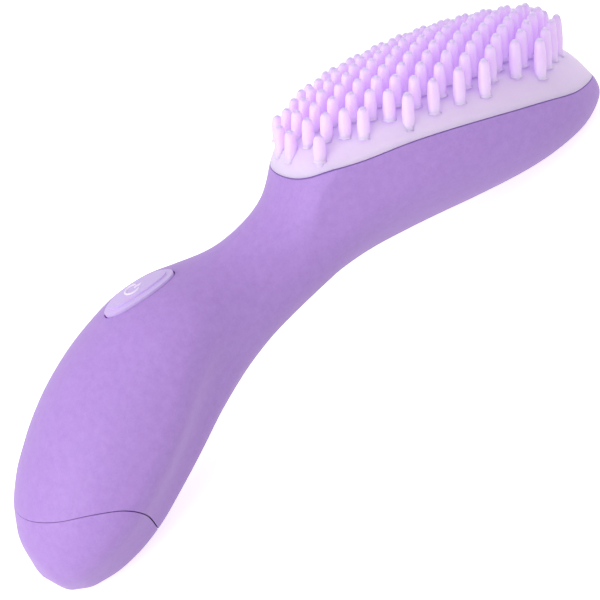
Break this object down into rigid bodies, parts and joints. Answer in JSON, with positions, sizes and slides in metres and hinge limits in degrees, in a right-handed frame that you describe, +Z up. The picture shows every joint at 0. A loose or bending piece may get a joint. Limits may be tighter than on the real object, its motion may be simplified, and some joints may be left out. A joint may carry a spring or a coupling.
{
  "type": "facial cleansing brush",
  "caption": "Battery-powered facial cleansing brush: arched soft-touch handle with a push button, slide-off battery cap and a head with a silicone pad of bristle nubs over a vibration motor.",
  "frame": {"origin": "middle of the brush's length, on the ground it lies on, in its plane of symmetry", "axes": "+X from the grip to the head, +Z up towards the bristle side, Y across"},
  "size_m": [0.168, 0.041, 0.0497],
  "materials": {
    "soft_skin": "soft-touch matt",
    "pad_silicone": "satin silicone",
    "button_plastic": "satin",
    "seal_silicone": "matt",
    "housing_plastic": "moulded",
    "inner_plastic": "moulded",
    "screw_steel": "plated",
    "cell_wrap": "printed sleeve without marks",
    "contact_nickel": "nickel plated",
    "board_green": "solder mask",
    "switch_black": "moulded",
    "motor_steel": "drawn",
    "magnet_grey": "sintered",
    "rotor_iron": "laminated and wound",
    "weight_metal": "sintered",
    "lead_red": "insulation",
    "lead_black": "insulation"
  },
  "bodies": {
    "body": {"outer_skin": "soft_skin", "bristle_pad": "pad_silicone", "button_seal": "seal_silicone", "cap_seal_ring": "seal_silicone", "upper_housing": "housing_plastic", "lower_housing": "housing_plastic", "pad_frame": "housing_plastic", "battery_sleeve": "inner_plastic", "motor_cradle": "inner_plastic", "housing_screws": "screw_steel", "pad_frame_screws": "screw_steel", "battery_cell_left": "cell_wrap", "battery_cell_right": "cell_wrap", "positive_contact": "contact_nickel", "negative_contact": "contact_nickel", "circuit_board": "board_green", "tactile_switch": "switch_black", "controller_chip": "switch_black", "board_capacitor": "cell_wrap", "motor_can": "motor_steel", "motor_endcap": "switch_black", "motor_magnets": "magnet_grey", "battery_leads": "lead_red", "motor_leads": "lead_black"},
    "button": {"button_cap": "button_plastic", "button_plunger": "inner_plastic"},
    "stem": {"switch_stem": "switch_black"},
    "rotor": {"motor_shaft": "screw_steel", "motor_rotor": "rotor_iron", "eccentric_weight": "weight_metal"},
    "battery_cap": {"battery_cap_skin": "soft_skin", "battery_cap_core": "housing_plastic", "cap_bridge_contact": "contact_nickel"}
  },
  "joints": [
    {"name": "button_press", "type": "slide", "parent": "body", "child": "button", "axis": [-0.1478, 0, -0.989], "range_m": [0, 0.0005], "stiffness_N_per_m": 1200, "springref_m": -0.0002},
    {"name": "switch_stem_press", "type": "slide", "parent": "body", "child": "stem", "axis": [-0.1478, 0, -0.989], "range_m": [0, 0.00025]},
    {"name": "motor_spin", "type": "hinge", "parent": "body", "child": "rotor", "pos_m": [0.036, 0, 0.0205], "axis": [0.8988, 0, -0.4384], "continuous": true},
    {"name": "battery_cap_slide", "type": "slide", "parent": "body", "child": "battery_cap", "axis": [-0.9455, 0, -0.3256], "range_m": [0, 0.02]}
  ],
  "couplings": [
    {"joint": "switch_stem_press", "follows": "button_press", "ratio": 0.5}
  ]
}
